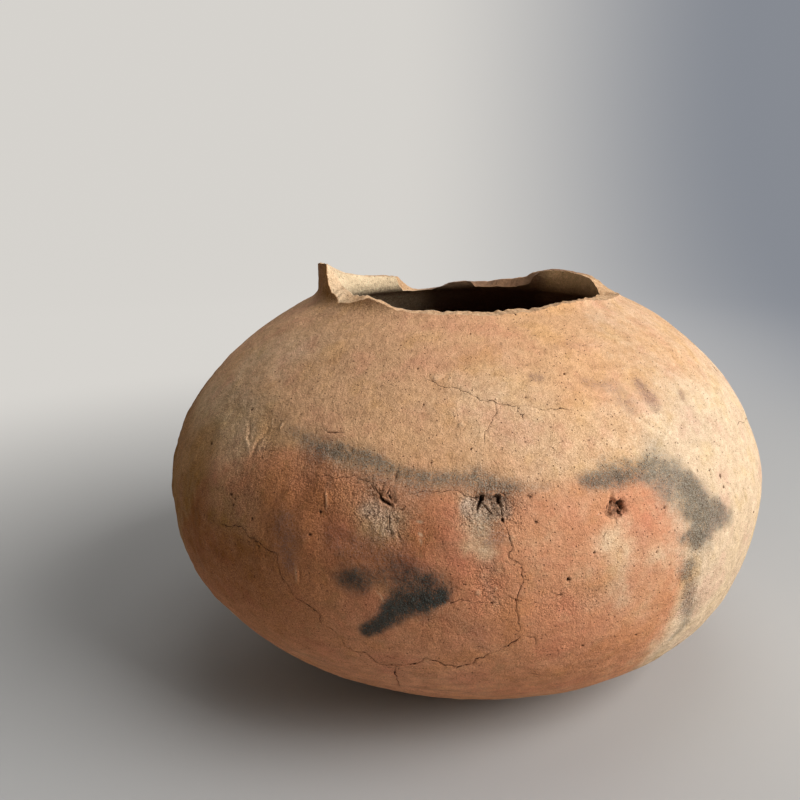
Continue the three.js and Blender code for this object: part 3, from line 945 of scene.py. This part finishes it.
class Graph:
    """Adds shader nodes to a material, joins them, and lays colours over each other."""

    def __init__(self, name):
        self.material = bpy.data.materials.new(name)
        self.material.use_nodes = True
        self.tree = self.material.node_tree
        self.colour = None

    def node(self, kind, settings=None, **inputs):
        node = self.tree.nodes.new(kind)
        for key, value in (settings or {}).items():
            setattr(node, key, value)
        for key, value in inputs.items():
            self.feed(node.inputs[key], value)
        return node

    def feed(self, socket, value):
        if isinstance(value, bpy.types.NodeSocket):
            self.tree.links.new(value, socket)
        else:
            socket.default_value = value

    def layer(self, name):
        return self.node("ShaderNodeAttribute", {"attribute_name": name}).outputs["Fac"]

    def uneven(self, name, *amounts):
        """A layer made stronger and weaker from place to place."""
        return self.times(self.layer(name), self.plus(1.0, *amounts))

    def place(self, stretch=(1, 1, 1)):
        """The jar's own coordinates, squeezed along each axis."""
        place = self.node("ShaderNodeTexCoord").outputs["Object"]
        return self.node("ShaderNodeMapping", Vector=place, Scale=stretch).outputs["Vector"]

    def noise(self, size, detail=3.0, rough=0.55, stretch=(1, 1, 1)):
        """Noise with blobs of about size millimetres."""
        looks = {"Scale": 1000 / size, "Detail": detail, "Roughness": rough}
        return self.node("ShaderNodeTexNoise", Vector=self.place(stretch), **looks).outputs["Fac"]

    def pair(self, kind, settings, a, b):
        """What a node makes of two values."""
        node = self.node(kind, settings)
        self.feed(node.inputs[0], a)
        self.feed(node.inputs[1], b)
        return node.outputs[0]

    def vector(self, operation, a, b):
        return self.pair("ShaderNodeVectorMath", {"operation": operation}, a, b)

    def specks(self, spacing, reach, share, seed):
        """Specks scattered about spacing millimetres apart, on a share of the places."""
        shifted = self.vector("ADD", self.place(), (0.13 * seed, 0.07 * seed, 0.29 * seed))
        cells = self.node("ShaderNodeTexVoronoi", Vector=shifted, Scale=1000 / spacing)
        pick = self.node("ShaderNodeSeparateColor", Color=cells.outputs["Color"])
        chosen = self.ramp(pick.outputs[0], 1 - share, 1 - share + 0.02)
        size = self.times(self.plus(pick.outputs[1], 0.35), reach)
        spot = self.math("DIVIDE", cells.outputs["Distance"], size)
        return self.times(self.ramp(spot, 0.55, 1.0, 1, 0), chosen)

    def crazing(self, spacing):
        """A broken network of hairlines round cells about spacing millimetres across."""
        wander = self.node("ShaderNodeTexNoise", Vector=self.place(), Scale=700, Detail=3)
        bend = self.vector("MULTIPLY", wander.outputs["Color"], [CRAZING_BEND] * 3)
        edge = {"feature": "DISTANCE_TO_EDGE"}
        bent = self.vector("ADD", self.place(), bend)
        cells = self.node("ShaderNodeTexVoronoi", edge, Vector=bent, Scale=1000 / spacing)
        line = self.ramp(cells.outputs["Distance"], 0.02, 0.06, 1, 0)
        return self.times(line, self.ramp(self.noise(3, 2), 0.46, 0.56))

    def math(self, operation, a, b=0.0, clamp=False):
        return self.pair("ShaderNodeMath", {"operation": operation, "use_clamp": clamp}, a, b)

    def times(self, a, b, clamp=False):
        return self.math("MULTIPLY", a, b, clamp)

    def plus(self, first, *others):
        for other in others:
            first = self.math("ADD", first, other)
        return first

    def about(self, value, amount):
        """amount times how far a noise lies above its middle."""
        return self.times(self.math("SUBTRACT", value, 0.5), amount)

    def ramp(self, value, low, high, to_low=0.0, to_high=1.0):
        """value from low to high, as a smooth 0 to 1 or other range."""
        node = self.node("ShaderNodeMapRange", {"interpolation_type": "SMOOTHSTEP"}, Value=value)
        for key, number in (("From Min", low), ("From Max", high), ("To Min", to_low), ("To Max", to_high)):
            self.feed(node.inputs[key], number)
        return node.outputs["Result"]

    def mix(self, share, a, b, blend="MIX"):
        node = self.node("ShaderNodeMix", {"data_type": "RGBA", "blend_type": blend})
        colours = [s for s in node.inputs if s.type == "RGBA"]
        self.feed(node.inputs["Factor"], share)
        self.feed(colours[0], a)
        self.feed(colours[1], b)
        return next(s for s in node.outputs if s.type == "RGBA")

    def paint(self, share, colour, blend="MIX"):
        """Lays a share of a colour over what is painted so far."""
        self.colour = self.mix(share, self.colour, colour, blend)

    def close(self, looks):
        """Feeds the shader, and gives the finished material."""
        for key, value in looks.items():
            self.feed(self.tree.nodes["Principled BSDF"].inputs[key], value)
        return self.material


def srgb(red, green, blue):
    """A colour written as it shows, from 0 to 255, in the linear numbers that a shader takes."""
    linear = [((c / 255 + 0.055) / 1.055) ** 2.4 for c in (red, green, blue)]
    return (*linear, 1)


def clay_material(name):
    g = Graph(name)
    wide = g.noise(60, 2)
    blotch = g.noise(14, 4)
    mottle = g.noise(4.5, 3, 0.6)
    wiping = g.noise(22, 4, 0.6, (1, 1, 7))
    sand = g.noise(0.36, 1, 0.6)
    fine = g.noise(1.5, 3, 0.7)
    grit = g.layer("grit")

    # The fired body: tan above, red on the front, buff on the right flank
    shaded = g.ramp(wide, 0.35, 0.65)
    edge = g.plus(g.about(blotch, 0.5), g.about(mottle, 0.3))
    g.colour = g.mix(shaded, srgb(224, 174, 128), srgb(216, 168, 126))
    red = g.mix(shaded, srgb(217, 151, 112), srgb(211, 144, 102))
    g.paint(g.ramp(g.plus(g.layer("red"), edge), 0.2, 0.85), red)
    g.paint(g.times(g.uneven("flush", g.about(blotch, 1.2)), 0.8, True), srgb(208, 132, 102))
    g.paint(g.ramp(blotch, 0.5, 0.72, 0, 0.4), srgb(216, 158, 122))
    g.paint(g.ramp(mottle, 0.52, 0.75, 0, 0.35), srgb(180, 140, 100))
    g.paint(g.ramp(wiping, 0.52, 0.72, 0, 0.3), srgb(176, 130, 98))
    flank = g.ramp(g.plus(g.layer("flank"), g.plus(edge, g.about(fine, 0.3))), 0.2, 0.9)
    g.paint(g.times(flank, 0.9), srgb(228, 200, 166))
    pale = g.uneven("pale", g.about(mottle, 1.6), g.about(sand, 0.5))
    g.paint(g.times(pale, 0.85, True), srgb(230, 200, 162))
    # A brown tint, partly painted shade on the left side and the stub, multiplies the colour
    g.paint(g.uneven("brown_and_shade", g.about(mottle, 1.2)), BROWN_AND_SHADE_TINT, "MULTIPLY")
    tint = g.noise(13, 4, 0.65)
    g.paint(g.ramp(tint, 0.50, 0.68), YELLOW_TINT, "MULTIPLY")
    g.paint(g.ramp(tint, 0.50, 0.32), PINK_TINT, "MULTIPLY")

    # Smoke, purple bruises and soot, which the grain breaks up
    ragged = g.plus(g.about(mottle, 0.6), g.about(fine, 1.5), g.about(sand, 2.6), 1.0)
    clouded = g.plus(g.layer("smoke"), g.times(g.layer("soot"), 0.6))
    smoke = g.ramp(g.times(clouded, ragged), 0.0, 0.9, 0, 0.88)
    g.paint(smoke, srgb(102, 95, 83))
    uneven_bruise = g.times(g.layer("bruise"), g.plus(g.times(ragged, 1.9), -0.9))
    g.paint(g.ramp(uneven_bruise, 0.04, 0.7, 0, 0.7), srgb(132, 98, 84))
    dense = g.times(g.layer("soot"), g.plus(g.times(ragged, 0.6), 0.4))
    g.paint(g.ramp(dense, 0.06, 0.75, 0, 0.93), srgb(48, 53, 49))

    # The inside, buff near the mouth as painted light and brown below as painted shade, with painted shade
    # at the back of the rim, and the bare broken edge
    place = g.node("ShaderNodeSeparateXYZ", Vector=g.place())
    height, across = place.outputs["Z"], place.outputs["X"]
    shaded_back = g.times(g.ramp(across, -0.022, -0.012), g.ramp(place.outputs["Y"], 0.015, 0.03))
    # The inside near the mouth is painted as lit, cream on the left and deeper buff on the right, and darker
    # at the back of the rim as painted shade
    mouth = g.mix(g.ramp(across, -0.012, 0.012), srgb(255, 226, 184), srgb(255, 206, 150))
    mouth = g.mix(g.times(shaded_back, g.ramp(across, 0.026, 0.034, 0.85, 0)), mouth, srgb(116, 80, 56))
    # Painted light near the mouth, reaching lower on the left, and painted shade deeper down
    lit = g.ramp(g.plus(height, g.times(across, -0.2)), 0.100, 0.122)
    g.paint(g.layer("inner"), g.mix(lit, srgb(84, 50, 34), mouth))
    chalk = g.mix(g.ramp(fine, 0.35, 0.65), srgb(232, 192, 148), srgb(190, 146, 106))
    chalk = g.mix(g.ramp(across, -0.032, -0.04), chalk, srgb(246, 214, 174))
    # Painted shade on the back of the broken edge
    chalk = g.mix(g.times(shaded_back, 0.95), chalk, srgb(114, 82, 60))
    g.paint(g.times(g.layer("broken"), 0.85), chalk)

    # Sandy grain: light and dark grains, pinholes and a few white grits
    g.paint(g.times(g.ramp(grit, 0.6, 1.0, 0, 0.6), g.ramp(smoke, 0.1, 0.6, 1, 0.1)), srgb(212, 188, 166))
    calm = g.ramp(g.layer("red"), 0.3, 0.8, 1, 0.42)
    coarse = g.times(g.plus(g.about(fine, 0.36), g.about(g.noise(2.4, 2), 0.50)), calm)
    streaks = g.about(g.noise(5, 4, 0.65, (1, 1, 2.5)), 0.9)
    coarse = g.plus(coarse, g.about(mottle, 0.36), g.about(blotch, 0.16))
    coarse = g.plus(coarse, g.times(streaks, g.ramp(height, 0.06, 0.035)))
    harsh = g.plus(g.times(smoke, 1.2), g.times(grit, 0.4), g.times(g.layer("brown_and_shade"), 0.4))
    dust = g.times(g.about(g.noise(0.2, 1), 1.6), g.plus(harsh, 0.42))
    grain = g.times(g.ramp(sand, 0.25, 0.75, -0.5, 0.5), g.plus(harsh, 0.28))
    light = g.times(g.specks(0.9, 0.24, 0.36, 1), g.ramp(clouded, 0.02, 0.35, 1, 0.3))
    shade = g.plus(coarse, dust, grain, g.times(light, 0.3), 0.98)
    green, blue = g.math("POWER", shade, 1.12), g.math("POWER", shade, 1.26)
    tone = g.node("ShaderNodeCombineColor", Red=shade, Green=green, Blue=blue)
    g.paint(1.0, tone.outputs[0], "MULTIPLY")
    bare = g.plus(g.layer("soot"), g.layer("brown_and_shade"))
    g.paint(g.times(g.specks(3.4, 0.04, 0.14, 2), g.ramp(bare, 0.05, 0.4, 0.65, 0)), srgb(240, 224, 202))
    many = g.plus(g.specks(0.9, 0.22, 0.32, 3), g.times(g.specks(0.7, 0.30, 0.5, 6), grit))
    pinhole = g.math("MAXIMUM", g.times(many, 0.85), g.specks(1.8, 0.11, 0.6, 4))
    g.paint(g.times(pinhole, 0.75, True), srgb(104, 62, 40))

    # Scraped places, then pits and slots darkened inside with painted shade, and cracks
    g.paint(g.times(g.layer("scraped"), 0.8), srgb(226, 194, 158))
    # The hollows of pits and slots: a brown floor, then painted shade deeper in
    hollow_and_shade = g.uneven("hollow_and_shade", g.about(sand, 1.2), g.about(g.noise(0.8, 2, 0.7), 2.2))
    g.paint(g.ramp(hollow_and_shade, 0.25, 0.50, 0, 0.8), srgb(104, 72, 50))
    g.paint(g.ramp(hollow_and_shade, 0.55, 0.90, 0, 0.9), srgb(50, 35, 27))
    crack = g.times(g.crazing(2.4), g.ramp(grit, 0.35, 0.9, 0, 0.8))
    jitter = g.plus(g.about(g.noise(1.4, 1), 0.6), g.about(g.noise(0.6, 1), 0.40))
    for k in range(CRACK_LAYERS):
        off = g.math("ABSOLUTE", g.plus(g.layer(f"crack_{k}"), jitter))
        half = g.plus(g.layer(f"open_{k}"), 0.00001)
        line = g.ramp(g.math("DIVIDE", off, half), 0.6, 1.6, 1, 0)
        crack = g.math("MAXIMUM", line, crack)
    crack = g.times(crack, g.ramp(g.noise(1.6, 3), 0.38, 0.6, 0.25, 0.95))
    g.paint(crack, srgb(78, 44, 28))

    # The relief of the grain
    crumbling = g.times(g.about(g.noise(0.9, 2, 0.7), 1.8), grit)
    sunk = g.plus(g.times(pinhole, -0.7), g.times(crack, -0.8), g.times(hollow_and_shade, -0.4))
    relief = g.plus(g.about(sand, 0.2), g.about(fine, 0.75), g.times(light, 0.4), g.about(wiping, 0.5))
    relief = g.plus(relief, crumbling, sunk)
    bump = g.node("ShaderNodeBump", Height=relief, Strength=1.0, Distance=0.0006)
    dull = g.ramp(fine, 0.3, 0.7, 0.84, 0.96)
    normal = bump.outputs["Normal"]
    return g.close({
        "Base Color": g.colour, "Roughness": dull, "Specular IOR Level": 0.25, "Normal": normal
    })


def sweep_material():
    """A plain pale floor, and a wall that shows to the camera as the colour written for it,
    with painted light: lighter on the left, darker and bluer on the right.
    """
    g = Graph("sweep")
    place = g.node("ShaderNodeSeparateXYZ", Vector=g.place())
    radius = g.node("ShaderNodeVectorMath", {"operation": "LENGTH"})
    g.feed(radius.inputs[0], g.place((1, 1, 0)))
    wall = g.ramp(radius.outputs["Value"], 0.13, 0.5)
    # Painted light on the wall: lighter on the left, darker and bluer on the right
    side = g.ramp(place.outputs["X"], -0.15, 0.52)
    shown = g.mix(side, srgb(213, 210, 205), srgb(134, 138, 146))
    paths = g.node("ShaderNodeLightPath").outputs
    seen = g.math("MAXIMUM", paths["Is Camera Ray"], paths["Is Glossy Ray"])
    seen = g.times(g.math("MAXIMUM", seen, paths["Is Transmission Ray"]), wall)
    base = g.mix(seen, srgb(187, 186, 184), (0, 0, 0, 1))
    return g.close({
        "Base Color": base, "Emission Color": shown, "Emission Strength": seen, "Roughness": 0.95,
        "Specular IOR Level": 0.1,
    })


# The scene


def add_object(name, data):
    thing = bpy.data.objects.new(name, data)
    bpy.context.collection.objects.link(thing)
    return thing


def make_jar():
    """The nine bands from the base up, each between the edges below and above it."""
    edges = [lambda angle: BASE_ARC + 0 * angle]
    edges += [lambda angle, i=i: joint_arc(i, angle) for i in range(len(JOINT_HEIGHTS))]
    edges += [lambda angle: break_arc(BROKEN_EDGE, CHIPS, angle)]
    for slot, nodes in PIECES.items():
        material = clay_material(slot)
        for node in nodes:
            name = node + "_clay"
            mesh = make_band(name, edges.pop(0), edges[0], node == "neck_collar")
            mesh.materials.append(material)
            piece = add_object(name, mesh)
            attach(piece, "root")
            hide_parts(node)


FLOOR_RADIUS = 0.9
SWEEP_RADIUS = 0.5
WALL_HEIGHT = 1.4
SWEEP_SIDES = 96


def make_sweep():
    """A round floor that curves up into a wall on every side."""
    turn = np.linspace(0, math.pi / 2, 12)
    radii = [0.001, *(FLOOR_RADIUS + SWEEP_RADIUS * np.sin(turn)), FLOOR_RADIUS + SWEEP_RADIUS]
    heights = [0, *(SWEEP_RADIUS * (1 - np.cos(turn))), WALL_HEIGHT]
    angle = np.linspace(0, 2 * math.pi, SWEEP_SIDES, endpoint=False)
    points = [(r * math.cos(t), r * math.sin(t), z) for r, z in zip(radii, heights) for t in angle]
    faces = ring_faces(len(radii), SWEEP_SIDES)[:-SWEEP_SIDES].tolist()
    faces.append(list(range(SWEEP_SIDES))[::-1])
    mesh = bpy.data.meshes.new("sweep")
    mesh.from_pydata(points, [], faces)
    mesh.polygons.foreach_set("use_smooth", [True] * len(mesh.polygons))
    mesh.materials.append(sweep_material())
    add_object("sweep", mesh)


LAMP_AIM = (0, 0, 0.06)
LAMP_DISTANCE = 1.0
LAMP_SIZE = 0.6
# Lamps: name, angle round the jar and height angle in degrees, power in watts
LAMPS = [("window", -28, 34, 10.7), ("top", 0, 85, 1.6), ("back", 90, 20, 2.5)]


def make_lamp(name, degrees, height_degrees, power):
    light = bpy.data.lights.new(name, "AREA")
    light.size = LAMP_SIZE
    light.energy = power
    lamp = add_object(name, light)
    turn, rise = math.radians(degrees), math.radians(height_degrees)
    away = Vector((math.cos(turn) * math.cos(rise), math.sin(turn) * math.cos(rise), math.sin(rise)))
    lamp.location = Vector(LAMP_AIM) + LAMP_DISTANCE * away
    lamp.rotation_euler = away.to_track_quat("Z", "Y").to_euler()
    lamp.visible_camera = False


def make_camera():
    data = bpy.data.cameras.new("camera")
    data.sensor_width = 36
    data.lens = data.sensor_width * FOCAL_PIXELS / FRAME_PIXELS
    data.shift_x = (FRAME_PIXELS / 2 - AXIS_PIXEL) / FRAME_PIXELS
    camera = add_object("camera", data)
    camera.location = (0, -CAMERA_DISTANCE / 1000, CAMERA_HEIGHT / 1000)
    camera.rotation_euler = (math.pi / 2 - CAMERA_PITCH, 0, 0)
    bpy.context.scene.camera = camera


def make_world():
    world = bpy.data.worlds.new("world")
    world.use_nodes = True
    sky = world.node_tree.nodes["Background"]
    sky.inputs["Color"].default_value = (1, 1, 1, 1)
    sky.inputs["Strength"].default_value = 0.07
    bpy.context.scene.world = world


make_jar()
make_sweep()
for lamp in LAMPS:
    make_lamp(*lamp)
make_camera()
make_world()
bpy.context.scene.view_settings.view_transform = "Standard"
